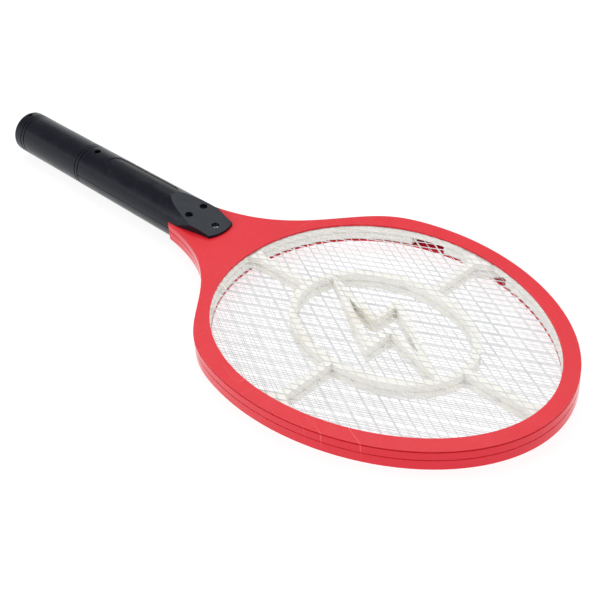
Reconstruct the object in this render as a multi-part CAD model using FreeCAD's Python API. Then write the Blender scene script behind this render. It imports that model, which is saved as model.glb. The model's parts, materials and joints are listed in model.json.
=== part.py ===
import FreeCAD, Part
import math
import os

# Electric fly swatter, in millimetres.
# +X runs from the rear of the handle to the tip of the head, +Z comes out of the screw side.

V = FreeCAD.Vector
X_AXIS = V(1, 0, 0)
Z_AXIS = V(0, 0, 1)

# ---- overall layout along X ----
REAR_X = -225.0            # rear face of the pull-off cap
CAP_FRONT_X = -154.7       # mouth of the cap
COLLAR_FRONT_X = -151.7    # front of the collar between cap and handle
GRIP_FRONT_X = -56.5       # where the round grip ends and the red neck comes out
TONGUE_TIP_X = -21.5       # tip of the upper tongue that lies on the neck
LOWER_TONGUE_TIP_X = -32.0

# ---- handle ----
FACET_START_X = -67.0
FACET_SLOPE = 0.196        # fall of the slanted facet per millimetre of length
LOWER_FACET_SLOPE = 0.152
FACET_WALL = 2.2           # thickness of the shell behind a facet
TONGUE_HALF_W = 9.6        # half the width across the two corners of a tongue
TONGUE_HOLLOW_HALF_W = 7.6
GRIP_REAR_R = 14.2
GRIP_FACET_R = 14.6
BORE_R = 12.0
AXIS_Z = GRIP_FACET_R      # the grip rests on z = 0
CROWN_Z = AXIS_Z + GRIP_FACET_R
GROOVE_DEPTH = 0.7         # turned grooves that mark the joints of the handle
GROOVE_HALF_W = 0.45
SIDE_SEAM_W = 0.25
SIDE_SEAM_DEPTH = 0.3

# ---- head frame ----
FRAME_TOP = AXIS_Z + 4.2
FRAME_MID = FRAME_TOP - 6.1
FRAME_BOTTOM = FRAME_MID - 6.1
FLANGE = 1.0               # thickness of the flat rim face
WALL = 2.0                 # outer wall of the frame
MESH_T = 0.6
RIM_LINE_TOP = 0.4         # shadow line round the outer wall, this far below the upper rim face
RIM_LINE_H = 0.8
RIM_LINE_DEPTH = 0.8
RIM_SEAM_DEPTH = 0.6       # groove between the two frame halves
RIM_SEAM_HALF_W = 0.3
TANG_REAR_X = -78.0
TANG_HALF_W = 9.0
CHANNEL_HALF_W = 2.4       # wire channel through the tang
CHANNEL_HALF_H = 3.2

# Egg outlines: x = centre + a cos t, y = b (1 + k cos t) sin t
OPENING = {"centre": 110.9, "a": 105.0, "b": 83.1, "k": -0.088}
HEAD = {"centre": 105.5, "a": 119.5, "b": 92.3, "k": -0.044}
HEAD_END_DEG = 115.0       # angle at which the head outline turns into the throat
NECK_HALF_W = 14.8
THROAT_POLES = (V(17.0, 72.5, 0), V(17.0, 24.0, 0))
TIP_X = HEAD["centre"] + HEAD["a"]

# ---- meshes and spacers ----
TOP_MESH_Z = FRAME_TOP - FLANGE - MESH_T / 2.0
BOTTOM_MESH_Z = 2.0 * FRAME_MID - TOP_MESH_Z
OUTER_TAB_Y = -10.0        # solder tabs of the outer meshes; the centre mesh has its tab at y = 0
FINE_PITCH_X = 9.8
FINE_STRAND = 0.6
COARSE_PITCH_X = 19.6
COARSE_STRAND = 0.8
SPACER_INSET = 0.2         # set-back of the spacer ring from the opening edge
SPACER_REACH = 5.2         # how far the spacer ring runs under the rim
RING_GAPS = ((62.5, 83.0), (120.5, 131.0))   # stretches along X where the lower ring is left open
MESH_REACH = 4.5
SPIDER_X = 109.5
SPIDER_RX = 57.5
SPIDER_RY = 40.3
RIB_W = 4.7

# ---- screws ----
SCREW_R = 1.4
SCREW_HEAD_R = 2.2
SCREW_HEAD_H = 1.4
SCREW_LENGTH = 16.0
TIP_SCREW_LENGTH = 11.0
BOSS_R = 3.4
HEAD_HOLE_R = 2.35
REAR_SCREW_X = -144.6
NECK_SCREW_X = -45.7
NECK_SCREW_Y = 5.9
TIP_SCREW_X = -28.5
REAR_SEAT_Z = AXIS_Z + 8.0
NECK_SEAT_Z = 21.3
TIP_SEAT_Z = 19.3
TIP_HEAD_H = 0.9

# ---- controls on the underside ----
RECESS_X = -98.4
RECESS_L = 64.5
RECESS_W = 13.5
LABEL_DEPTH = 0.4
FLOOR_Z = 2.0              # flat floor of the control recess
PAD_Z = 3.8                # inner face of the shell behind that floor
BUTTON_X = -88.0
BUTTON_L = 14.0
BUTTON_W = 8.0
BUTTON_FACE_Z = 0.5
BUTTON_FLANGE_Z = 3.85
SLIDE_X = -110.0
SLIDE_TRAVEL = 3.5
SLIDE_BODY_BOTTOM = 8.0
SWITCH_BOTTOM = 9.4
PLUNGER_R = 1.8
LED_X = -124.0

# ---- circuit board ----
BOARD_REAR_X = -139.0
BOARD_FRONT_X = -81.0
BOARD_HALF_W = 9.5
BOARD_BOTTOM = 13.0
BOARD_TOP = 14.6
TRANSFORMER_X = -114.0
DIODE_X = (-131.0, -101.0)
RESISTOR_X = -86.2
TRANSISTOR_X = -105.6
CAPACITOR_W = 5.5
CAPACITOR_H = 8.8
HV_CAPACITOR = {"x": -97.0, "y": -4.0, "length": 12.0}
MAINS_CAPACITOR = {"x": -130.0, "y": -4.2, "length": 11.0}

# ---- cap and plug ----
CAP_REAR_R = 14.0
CAP_FRONT_R = 14.1
CAP_ROUNDING = 2.2
CAP_FLOOR_X = -216.0
GROOVE_X = (-216.6, -213.4)
LANYARD_X = -220.6
LANYARD_R = 1.5
SPIGOT_R = 11.95
SPIGOT_REAR_X = -187.0
SPIGOT_FRONT_X = -149.0
SPIGOT_WALL = 1.45
SPIGOT_END = 3.0
BLADE_Y = 6.35
BLADE_W = 6.35
BLADE_T = 1.5
BLADE_TIP_X = -204.0
BLADE_ROOT_X = -182.4
CELL_R = 5.0
CELL_Y = 5.05
CELL_REAR_X = -180.0
CELL_L = 30.0

WIRE_R = 0.55


# ---------------------------------------------------------------- helpers

def box(x0, x1, y0, y1, z0, z1):
    return Part.makeBox(x1 - x0, y1 - y0, z1 - z0, V(x0, y0, z0))


def post(x, y, z0, z1, radius):
    return Part.makeCylinder(radius, z1 - z0, V(x, y, z0), Z_AXIS)


def rod_x(x0, x1, y, z, radius):
    return Part.makeCylinder(radius, x1 - x0, V(x0, y, z), X_AXIS)


def prism(face, z0, z1):
    """Extrude a face drawn at z = 0 between two heights."""
    lifted = face.copy()
    lifted.translate(V(0, 0, z0))
    return lifted.extrude(V(0, 0, z1 - z0))


def polygon(points):
    return Part.Face(Part.makePolygon(list(points) + [points[0]]))


def stadium(x, length, width):
    """Slot-shaped face lying along X, centred on y = 0."""
    r = width / 2.0
    half = length / 2.0 - r
    sides = [Part.LineSegment(V(x - half, -r, 0), V(x + half, -r, 0)).toShape(),
             Part.Arc(V(x + half, -r, 0), V(x + half + r, 0, 0), V(x + half, r, 0)).toShape(),
             Part.LineSegment(V(x + half, r, 0), V(x - half, r, 0)).toShape(),
             Part.Arc(V(x - half, r, 0), V(x - half - r, 0, 0), V(x - half, -r, 0)).toShape()]
    return Part.Face(Part.Wire(sides))


def turned_over(shape, height):
    """Turn a shape half a turn about the X line at the given height."""
    copy = shape.copy()
    copy.rotate(V(0, 0, height), X_AXIS, 180)
    return copy


def wire_along(points):
    """Round wire on a smooth curve through the points."""
    curve = Part.BSplineCurve()
    curve.interpolate(points)
    start = curve.tangent(curve.FirstParameter)[0]
    profile = Part.Wire(Part.Circle(points[0], start, WIRE_R).toShape())
    return Part.Wire(curve.toShape()).makePipeShell([profile], True, False)


def save(node, shape):
    """Write one node; a list of solids becomes one group."""
    if isinstance(shape, (list, tuple)):
        shape = Part.makeCompound(list(shape))
    if not shape.isValid():
        raise RuntimeError("invalid shape: " + node)
    shape.exportStep("parts/" + node + ".step")


# ---------------------------------------------------------------- outlines

def egg_point(egg, angle, offset=0.0):
    """Point on an egg outline, moved outward along the normal by the offset."""
    c = math.cos(angle)
    s = math.sin(angle)
    x = egg["centre"] + egg["a"] * c
    y = egg["b"] * (1.0 + egg["k"] * c) * s
    dx = -egg["a"] * s
    dy = egg["b"] * (c + egg["k"] * (c * c - s * s))
    length = math.hypot(dx, dy)
    return V(x + offset * dy / length, y - offset * dx / length, 0)


def egg_face(egg, offset=0.0, count=48):
    points = [egg_point(egg, 2.0 * math.pi * i / count, offset) for i in range(count)]
    curve = Part.BSplineCurve()
    curve.interpolate(Points=points, PeriodicFlag=True)
    return Part.Face(Part.Wire(curve.toShape()))


def throat_point(share, offset):
    """Point on the cubic curve from the head (share 0) to the neck end (share 1)."""
    poles = [egg_point(HEAD, math.radians(HEAD_END_DEG)), THROAT_POLES[0], THROAT_POLES[1],
             V(GRIP_FRONT_X, NECK_HALF_W, 0)]
    rest = 1.0 - share
    point = (poles[0] * rest ** 3 + poles[1] * (3 * rest * rest * share)
             + poles[2] * (3 * rest * share * share) + poles[3] * share ** 3)
    along = ((poles[1] - poles[0]) * rest ** 2 + (poles[2] - poles[1]) * (2 * rest * share)
             + (poles[3] - poles[2]) * share ** 2)
    return point + V(along.y, -along.x, 0) * (offset / along.Length)


def head_outline(offset=0.0, head_count=36, throat_count=9):
    """Outer outline of the frame: head, throat and neck end, moved outward by the offset.

    The neck end is closed by a straight line that the offset does not move."""
    end = math.radians(HEAD_END_DEG)
    throat = [throat_point((i + 1.0) / throat_count, offset) for i in range(throat_count)]
    points = [V(p.x, -p.y, 0) for p in reversed(throat)]
    points += [egg_point(HEAD, -end + 2.0 * end * i / head_count, offset) for i in range(head_count + 1)]
    points += throat
    curve = Part.BSplineCurve()
    curve.interpolate(points)
    closing = Part.LineSegment(points[-1], points[0]).toShape()
    return Part.Face(Part.Wire([curve.toShape(), closing]))


# ---------------------------------------------------------------- head frame

def rim_ribs(z0, z1):
    """Short ribs that centre the spacer ring inside the outer wall."""
    ribs = []
    for degrees in range(-90, 91, 30):
        angle = math.radians(degrees)
        inner = egg_point(OPENING, angle, SPACER_REACH + 0.1)
        outer = egg_point(HEAD, angle, 0.4 - WALL)
        reach = outer - inner
        rib = box(0.0, reach.Length, -0.6, 0.6, z0, z1)
        rib.rotate(V(0, 0, 0), Z_AXIS, math.degrees(math.atan2(reach.y, reach.x)))
        rib.translate(inner)
        ribs.append(rib)
    return ribs


def ahead_of(x):
    """Block that holds everything of the frame in front of a station."""
    return box(x, TIP_X + 2.0, -100.0, 100.0, 0.0, 40.0)


def frame_half():
    """Upper half of the frame before it is told apart from the lower one."""
    half = prism(head_outline(), FRAME_MID, FRAME_TOP)
    hollow = prism(head_outline(-WALL), FRAME_MID - 1.0, FRAME_TOP - FLANGE)
    half = half.cut(hollow.common(ahead_of(GRIP_FRONT_X + WALL)))
    tang = box(TANG_REAR_X, GRIP_FRONT_X + WALL, -TANG_HALF_W, TANG_HALF_W, FRAME_MID, FRAME_TOP)
    bosses = [post(NECK_SCREW_X, side * NECK_SCREW_Y, FRAME_MID, FRAME_TOP, BOSS_R) for side in (1, -1)]
    bosses.append(post(TIP_SCREW_X, 0, FRAME_MID, FRAME_TOP, BOSS_R))
    half = half.fuse([tang] + bosses + rim_ribs(FRAME_MID + 2.0, FRAME_TOP - FLANGE + 0.2))
    half = half.cut(prism(egg_face(OPENING), FRAME_MID - 1.0, FRAME_TOP + 1.0))
    seam = prism(head_outline(1.0), FRAME_MID - 1.0, FRAME_MID + RIM_SEAM_HALF_W)
    seam = seam.cut(prism(head_outline(-RIM_SEAM_DEPTH), FRAME_MID - 1.1, FRAME_TOP))
    channel = box(TANG_REAR_X - 1.0, GRIP_FRONT_X + WALL + 1.0, -CHANNEL_HALF_W, CHANNEL_HALF_W,
                  FRAME_MID - 1.0, FRAME_MID + CHANNEL_HALF_H)
    return half.cut([seam.common(ahead_of(GRIP_FRONT_X)), channel])


def upper_frame_shell(half):
    rebate = prism(head_outline(-0.5 * WALL), FRAME_MID - 1.0, FRAME_MID + 1.5)
    rebate = rebate.cut(prism(head_outline(-WALL), FRAME_MID - 1.1, FRAME_MID + 1.6))
    tang = box(TANG_REAR_X - 1.0, GRIP_FRONT_X + WALL, -20.0, 20.0, 0.0, 40.0)
    half = half.cut(rebate.cut(tang))
    line_top = FRAME_TOP - RIM_LINE_TOP
    line = prism(head_outline(1.0), line_top - RIM_LINE_H, line_top)
    line = line.cut(prism(head_outline(-RIM_LINE_DEPTH), FRAME_MID, FRAME_TOP))
    half = half.cut(line.common(ahead_of(GRIP_FRONT_X)))
    return half.cut(screw_holes(SCREW_R + 0.2))


def lower_frame_shell(half):
    half = turned_over(half, FRAME_MID)
    lip = prism(head_outline(-0.5 * WALL - 0.1), FRAME_MID - 1.0, FRAME_MID + 1.4)
    lip = lip.cut(prism(head_outline(-WALL), FRAME_MID - 1.1, FRAME_MID + 1.5))
    tang = box(TANG_REAR_X - 1.0, GRIP_FRONT_X + WALL, -20.0, 20.0, 0.0, 40.0)
    half = half.fuse(lip.cut(tang))
    return half.cut(screw_holes(SCREW_R + 0.05))


def screw_holes(radius):
    holes = [post(NECK_SCREW_X, side * NECK_SCREW_Y, 0.0, 40.0, radius) for side in (1, -1)]
    holes.append(post(TIP_SCREW_X, 0, TIP_SEAT_Z - TIP_SCREW_LENGTH, 40.0, radius))
    return holes


# ---------------------------------------------------------------- meshes and spacers

def inside_egg(egg, x, y, offset):
    u = (x - egg["centre"]) / (egg["a"] + offset)
    if abs(u) >= 1.0:
        return False
    v = y / ((egg["b"] + offset) * (1.0 + egg["k"] * u))
    return u * u + v * v < 1.0


def mesh_plate(z_mid, pitch_x, strand, tab_y):
    """Expanded-metal sheet: rows of diamonds, every second row moved half a pitch.

    The diamonds run clockwise, against the outline, so that the face takes them as holes."""
    outline = egg_face(OPENING, MESH_REACH)
    tab = stadium(0.0, 12.0, 4.0)
    tab.translate(V(0, tab_y, 0))
    outer = outline.fuse(tab).removeSplitter().Faces[0].OuterWire
    half_x = pitch_x / 2.0
    half_y = half_x / 2.0
    reach = half_x * half_y / math.hypot(half_x, half_y)
    shrink = 1.0 - 0.5 * strand / reach
    hole_x = half_x * shrink
    hole_y = half_y * shrink
    wires = [outer]
    columns = int(OPENING["a"] / half_x) + 2
    rows = int(OPENING["b"] / half_y) + 2
    for row in range(-rows, rows + 1):
        y = row * half_y
        for column in range(-columns, columns + 1):
            if (row + column) % 2:
                continue
            x = OPENING["centre"] + column * half_x
            corners = [V(x + hole_x, y, 0), V(x, y - hole_y, 0), V(x - hole_x, y, 0), V(x, y + hole_y, 0)]
            if all(inside_egg(OPENING, p.x, p.y, MESH_REACH - 1.2) for p in corners):
                wires.append(Part.makePolygon(corners + [corners[0]]))
    face = Part.Face(wires)
    return prism(face, z_mid - MESH_T / 2.0, z_mid + MESH_T / 2.0)


def arm(angle, start, root_w):
    """Spoke from the oval out to the rim, flared where it meets the rim ring."""
    length = 130.0
    half = RIB_W / 2.0
    if angle % 180:
        edge = OPENING["b"]
    elif angle:
        edge = SPIDER_X - (OPENING["centre"] - OPENING["a"])
    else:
        edge = OPENING["centre"] + OPENING["a"] - SPIDER_X
    outline = [V(start, -half, 0), V(edge - 7.0, -half, 0), V(edge + 1.0, -root_w / 2.0, 0),
               V(length, -root_w / 2.0, 0), V(length, root_w / 2.0, 0), V(edge + 1.0, root_w / 2.0, 0),
               V(edge - 7.0, half, 0), V(start, half, 0)]
    face = polygon(outline)
    face.rotate(V(0, 0, 0), Z_AXIS, angle)
    face.translate(V(SPIDER_X, 0, 0))
    return face


def bolt_face():
    """Hollow lightning bolt, the same after half a turn about its centre."""
    tip = V(-57.0, 16.6, 0)
    notch = V(-8.6, 3.0, 0)
    peak = V(-8.7, 22.9, 0)
    half = [tip, notch, peak]
    outer = polygon(half + [V(-p.x, -p.y, 0) for p in half])
    ring = outer.cut(outer.makeOffset2D(-0.8 * RIB_W))
    ring.translate(V(SPIDER_X, 0, 0))
    return ring


def oval(rx, ry):
    ellipse = Part.Ellipse(V(SPIDER_X, 0, 0), rx, ry)
    return Part.Face(Part.Wire(ellipse.toShape()))


def spacer(z0, z1, gaps):
    """Insulating ring between two meshes, with its spokes, oval and bolt.

    The ring is left open over each stretch of X in gaps, on both sides."""
    outside = egg_face(OPENING, SPACER_REACH - 0.05)
    ring = prism(outside.cut(egg_face(OPENING, SPACER_INSET)), z0, z1)
    for x0, x1 in gaps:
        ring = ring.cut(box(x0, x1, -100.0, 100.0, z0, z1))
    half = RIB_W / 2.0
    loop = oval(SPIDER_RX + half, SPIDER_RY + half).cut(oval(SPIDER_RX - half, SPIDER_RY - half))
    arms = [arm(0, SPIDER_RX, 10.0), arm(180, SPIDER_RX, 10.0)]
    arms += [arm(90, SPIDER_RY, 29.0), arm(270, SPIDER_RY, 29.0)]
    bolt = bolt_face().common(oval(SPIDER_RX, SPIDER_RY))
    parts = [prism(shape.common(outside), z0, z1) for shape in [loop, bolt] + arms]
    return ring.fuse(parts).removeSplitter()


# ---------------------------------------------------------------- handle

def grip_radius(x):
    share = (x - COLLAR_FRONT_X) / (FACET_START_X - COLLAR_FRONT_X)
    return GRIP_REAR_R + share * (GRIP_FACET_R - GRIP_REAR_R)


def grip_cone(x0, x1, shrink=0.0):
    """Slightly tapered round body between two stations of the handle."""
    start = V(x0, 0, AXIS_Z)
    return Part.makeCone(grip_radius(x0) - shrink, grip_radius(x1) - shrink, x1 - x0, start, X_AXIS)


def facet_z(x, slope):
    return CROWN_Z - slope * (x - FACET_START_X)


def above_facet(slope, drop=0.0):
    """Wedge of space above a slanted facet, lowered by the drop."""
    start = FACET_START_X - 40.0
    corners = [V(start, -30, facet_z(start, slope) - drop), V(0, -30, facet_z(0, slope) - drop),
               V(0, -30, 80.0), V(start, -30, 80.0)]
    return polygon(corners).extrude(V(0, 60, 0))


def ring_groove(x, radius):
    """Narrow square groove turned round the handle axis into a surface of that radius."""
    around = rod_x(x - GROOVE_HALF_W, x + GROOVE_HALF_W, 0, AXIS_Z, radius + 1.0)
    return around.cut(rod_x(x - 1.0, x + 1.0, 0, AXIS_Z, radius - GROOVE_DEPTH))


def tongue_plan(tip_x):
    """Plan shape of a handle half: wide over the grip, then drawn in to the two corners of the tongue."""
    side = 20.0
    corner = V(tip_x - 2.5, TONGUE_HALF_W, 0)
    root = V(GRIP_FRONT_X, GRIP_FACET_R + 0.2, 0)
    waist = V(tip_x - 18.0, TONGUE_HALF_W + 2.4, 0)
    flank = V(tip_x - 9.5, TONGUE_HALF_W + 0.8, 0)
    over_grip = [V(COLLAR_FRONT_X - 1.0, side, 0), V(GRIP_FRONT_X, side, 0), root]
    edges = []
    for turn in (1, -1):
        curve = Part.BSplineCurve()
        curve.interpolate([V(p.x, turn * p.y, 0) for p in (root, waist, flank, corner)])
        edges.append(curve.toShape())
        edges += [Part.LineSegment(V(a.x, turn * a.y, 0), V(b.x, turn * b.y, 0)).toShape()
                  for a, b in zip(over_grip, over_grip[1:])]
    edges.append(Part.Arc(corner, V(tip_x, 0, 0), V(corner.x, -corner.y, 0)).toShape())
    edges.append(Part.LineSegment(V(over_grip[0].x, -side, 0), over_grip[0]).toShape())
    return Part.Face(Part.Wire(Part.__sortEdges__(edges)))


def handle_half(tip_x, face_z, slope):
    """Half of the grip above the handle axis, with its tongue over the neck.

    face_z is the height of the neck face that the tongue lies on."""
    body = grip_cone(COLLAR_FRONT_X, tip_x + 1.0).common(prism(tongue_plan(tip_x), AXIS_Z, 60.0))
    body = body.cut([above_facet(slope), ring_groove(COLLAR_FRONT_X, GRIP_REAR_R)])
    body = body.cut(rod_x(COLLAR_FRONT_X - 1.0, GRIP_FRONT_X, 0, AXIS_Z, BORE_R))
    hollow = rod_x(GRIP_FRONT_X - 1.0, tip_x - 4.0, 0, AXIS_Z, BORE_R).cut(above_facet(slope, FACET_WALL))
    core = box(GRIP_FRONT_X - 1.0, 0.0, -TONGUE_HOLLOW_HALF_W, TONGUE_HOLLOW_HALF_W, 0.0, 40.0)
    hollow = hollow.common(core)
    neck = box(GRIP_FRONT_X, 0.0, -30.0, 30.0, 0.0, face_z)
    seam = box(COLLAR_FRONT_X - 1.0, GRIP_FRONT_X + 1.0, -30.0, 30.0, AXIS_Z, AXIS_Z + SIDE_SEAM_W)
    seam = seam.cut(grip_cone(COLLAR_FRONT_X - 2.0, GRIP_FRONT_X + 2.0, SIDE_SEAM_DEPTH))
    return body.cut([hollow, neck, seam])


def upper_handle_shell():
    shell = handle_half(TONGUE_TIP_X, FRAME_TOP, FACET_SLOPE)
    inner = grip_cone(COLLAR_FRONT_X, TONGUE_TIP_X, 0.5).cut(above_facet(FACET_SLOPE, 0.5))
    posts = [post(REAR_SCREW_X, 0, AXIS_Z, CROWN_Z, BOSS_R)]
    posts += [post(NECK_SCREW_X, side * NECK_SCREW_Y, FRAME_TOP, CROWN_Z, BOSS_R) for side in (1, -1)]
    posts.append(post(TIP_SCREW_X, 0, FRAME_TOP, CROWN_Z, BOSS_R))
    shell = shell.fuse([p.common(inner) for p in posts])
    label = prism(stadium(RECESS_X, RECESS_L, RECESS_W), AXIS_Z, CROWN_Z + 1.0)
    label = label.cut(grip_cone(COLLAR_FRONT_X, TONGUE_TIP_X, LABEL_DEPTH))
    cuts = [label, post(REAR_SCREW_X, 0, 0.0, 40.0, SCREW_R + 0.2)] + screw_holes(SCREW_R + 0.2)
    cuts.append(post(REAR_SCREW_X, 0, REAR_SEAT_Z, 40.0, HEAD_HOLE_R))
    cuts += [post(NECK_SCREW_X, side * NECK_SCREW_Y, NECK_SEAT_Z, 40.0, HEAD_HOLE_R) for side in (1, -1)]
    cuts.append(post(TIP_SCREW_X, 0, TIP_SEAT_Z, 40.0, HEAD_HOLE_R))
    return shell.cut(cuts)


def lower_handle_shell():
    neck_face_z = 2.0 * AXIS_Z - FRAME_BOTTOM
    shell = turned_over(handle_half(LOWER_TONGUE_TIP_X, neck_face_z, LOWER_FACET_SLOPE), AXIS_Z)
    inner = grip_cone(COLLAR_FRONT_X, LOWER_TONGUE_TIP_X, 0.5).cut(above_facet(LOWER_FACET_SLOPE, 0.5))
    inner = turned_over(inner, AXIS_Z)
    posts = [post(REAR_SCREW_X, 0, 0.0, AXIS_Z, BOSS_R)]
    posts += [post(NECK_SCREW_X, side * NECK_SCREW_Y, 0.0, FRAME_BOTTOM, BOSS_R) for side in (1, -1)]
    pad = prism(stadium(RECESS_X, RECESS_L + 4.0, RECESS_W + 4.0), 0.0, PAD_Z)
    ledges = [box(x, x + 6.0, min(y0, y0 + 3.2), max(y0, y0 + 3.2), BOARD_BOTTOM - 1.4, BOARD_BOTTOM)
              for x in (BOARD_REAR_X + 2.0, BOARD_FRONT_X - 8.0) for y0 in (8.6, -11.8)]
    shell = shell.fuse([p.common(inner) for p in posts + [pad] + ledges])
    cuts = [prism(stadium(RECESS_X, RECESS_L, RECESS_W), -1.0, FLOOR_Z)]
    cuts.append(prism(stadium(BUTTON_X, BUTTON_L + 0.4, BUTTON_W + 0.4), 0.0, PAD_Z + 1.0))
    cuts.append(box(SLIDE_X - 4.5, SLIDE_X - 0.9 + SLIDE_TRAVEL, -1.7, 1.7, 0.0, PAD_Z + 1.0))
    cuts.append(post(LED_X, 0, 0.0, PAD_Z + 1.0, 1.55))
    cuts.append(post(REAR_SCREW_X, 0, REAR_SEAT_Z - SCREW_LENGTH - 1.0, 40.0, SCREW_R + 0.05))
    point_z = NECK_SEAT_Z - SCREW_LENGTH
    cuts += [post(NECK_SCREW_X, side * NECK_SCREW_Y, point_z, 40.0, SCREW_R + 0.05) for side in (1, -1)]
    return shell.cut(cuts)


# ---------------------------------------------------------------- plug end

def rear_cap():
    length = CAP_FRONT_X - REAR_X
    body = Part.makeCone(CAP_REAR_R, CAP_FRONT_R, length, V(REAR_X, 0, AXIS_Z), X_AXIS)
    rear_edges = [edge for edge in body.Edges if edge.BoundBox.XMax < REAR_X + 0.1]
    body = body.makeFillet(CAP_ROUNDING, rear_edges)
    body = body.cut(rod_x(CAP_FLOOR_X, CAP_FRONT_X + 1.0, 0, AXIS_Z, BORE_R))
    grooves = [ring_groove(x, CAP_REAR_R) for x in GROOVE_X] + [ring_groove(CAP_FRONT_X, CAP_FRONT_R)]
    return body.cut(grooves + [post(LANYARD_X, 0, -1.0, 40.0, LANYARD_R)])


def blade_slot(side, x0, x1):
    y = side * BLADE_Y
    return box(x0, x1, y - BLADE_T / 2.0, y + BLADE_T / 2.0, AXIS_Z - BLADE_W / 2.0, AXIS_Z + BLADE_W / 2.0)


def plug_block():
    """Collar and hollow spigot that carries the blades and holds the cells."""
    body = rod_x(SPIGOT_REAR_X, SPIGOT_FRONT_X, 0, AXIS_Z, SPIGOT_R)
    body = body.fuse(rod_x(CAP_FRONT_X + 0.1, COLLAR_FRONT_X - 0.1, 0, AXIS_Z, GRIP_REAR_R))
    bore = rod_x(SPIGOT_REAR_X + SPIGOT_END, SPIGOT_FRONT_X + 1.0, 0, AXIS_Z, SPIGOT_R - SPIGOT_WALL)
    grooves = [ring_groove(x, GRIP_REAR_R) for x in (CAP_FRONT_X, COLLAR_FRONT_X)]
    return body.cut(grooves + [bore, blade_slot(1, BLADE_TIP_X, 0.0), blade_slot(-1, BLADE_TIP_X, 0.0)])


def plug_blades():
    """Two flat pins with rounded tips and a small cross hole each."""
    blades = []
    for side in (1, -1):
        blade = blade_slot(side, BLADE_TIP_X, BLADE_ROOT_X)
        corners = [edge for edge in blade.Edges
                   if edge.BoundBox.XMax < BLADE_TIP_X + 0.1 and edge.BoundBox.YLength > 0.5]
        blade = blade.makeFillet(2.0, corners)
        hole = Part.makeCylinder(1.55, 4.0, V(BLADE_TIP_X + 4.5, side * BLADE_Y - 2.0, AXIS_Z), V(0, 1, 0))
        blades.append(blade.cut(hole))
    return blades


def battery_cells():
    cells = []
    for side in (1, -1):
        can = rod_x(CELL_REAR_X, CELL_REAR_X + CELL_L, side * CELL_Y, AXIS_Z, CELL_R)
        nub = rod_x(CELL_REAR_X + CELL_L - 0.1, CELL_REAR_X + CELL_L + 0.8, side * CELL_Y, AXIS_Z, 1.9)
        cells.append(can.fuse(nub))
    return cells


# ---------------------------------------------------------------- electronics

def circuit_board():
    return box(BOARD_REAR_X, BOARD_FRONT_X, -BOARD_HALF_W, BOARD_HALF_W, BOARD_BOTTOM, BOARD_TOP)


def transformer_core():
    """Ferrite core with two windows, standing on the board."""
    core = box(TRANSFORMER_X - 6.0, TRANSFORMER_X + 6.0, -2.2, 2.2, BOARD_TOP, BOARD_TOP + 10.0)
    windows = [box(TRANSFORMER_X + x0, TRANSFORMER_X + x0 + 2.6, -3.0, 3.0, BOARD_TOP + 1.8, BOARD_TOP + 8.2)
               for x0 in (-4.2, 1.6)]
    return core.cut(windows)


def transformer_winding():
    """Taped coil on the middle leg of the core."""
    coil = box(TRANSFORMER_X - 4.1, TRANSFORMER_X + 4.1, -5.8, 5.8, BOARD_TOP + 1.9, BOARD_TOP + 8.1)
    coil = coil.makeFillet(1.8, [edge for edge in coil.Edges if edge.BoundBox.ZLength > 5.0])
    leg = box(TRANSFORMER_X - 1.6, TRANSFORMER_X + 1.6, -2.2, 2.2, BOARD_TOP, BOARD_TOP + 10.0)
    return coil.cut(leg)


def film_capacitor(x, y, length):
    """Dipped film capacitor with rounded edges and two legs into the board."""
    half = CAPACITOR_W / 2.0
    base = BOARD_TOP + 0.3
    body = box(x - length / 2.0, x + length / 2.0, y - half, y + half, base, BOARD_TOP + CAPACITOR_H)
    body = body.makeFillet(0.3 * CAPACITOR_W, body.Edges)
    legs = [post(x + side * 0.36 * length, y, BOARD_TOP, BOARD_TOP + 2.0, 0.35) for side in (1, -1)]
    return body.fuse(legs)


def axial_part(x, y, body_r, body_l, span):
    """Axial component along X: body, leads and bent legs."""
    z = BOARD_TOP + body_r + 0.25
    wire_r = 0.32
    body = rod_x(x - body_l / 2.0, x + body_l / 2.0, y, z, body_r)
    lead = rod_x(x - span / 2.0, x + span / 2.0, y, z, wire_r)
    legs = [post(x + side * span / 2.0, y, BOARD_TOP, z, wire_r) for side in (1, -1)]
    knees = [Part.makeSphere(wire_r, V(x + side * span / 2.0, y, z)) for side in (1, -1)]
    return body.fuse([lead] + legs + knees)


def diodes():
    return [axial_part(x, y, 1.35, 5.0, 9.0) for x in DIODE_X for y in (4.4, 7.9)]


def resistors():
    return [axial_part(RESISTOR_X, y, 1.15, 5.6, 8.0) for y in (-6.5, -3.0, 3.0, 6.5)]


def transistor():
    """Small moulded transistor with one flat side and three legs."""
    body = post(TRANSISTOR_X, -6.6, BOARD_TOP + 1.6, BOARD_TOP + 6.2, 2.3)
    body = body.cut(box(TRANSISTOR_X - 3.0, TRANSISTOR_X + 3.0, -5.4, -4.0, BOARD_TOP, BOARD_TOP + 8.0))
    legs = [post(TRANSISTOR_X + dx, -6.6, BOARD_TOP, BOARD_TOP + 1.8, 0.25) for dx in (-1.27, 0.0, 1.27)]
    return body.fuse(legs)


def indicator_led():
    tip_z = 1.0
    radius = 1.5
    body = post(LED_X, 0, tip_z + radius, 6.4, radius)
    dome = Part.makeSphere(radius, V(LED_X, 0, tip_z + radius))
    rim = post(LED_X, 0, PAD_Z + 0.05, PAD_Z + 1.05, 1.9)
    legs = [post(LED_X + side * 1.27 / 2.0, 0, 6.0, BOARD_BOTTOM, 0.25) for side in (1, -1)]
    return body.fuse([dome, rim] + legs)


# ---------------------------------------------------------------- controls

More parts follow.
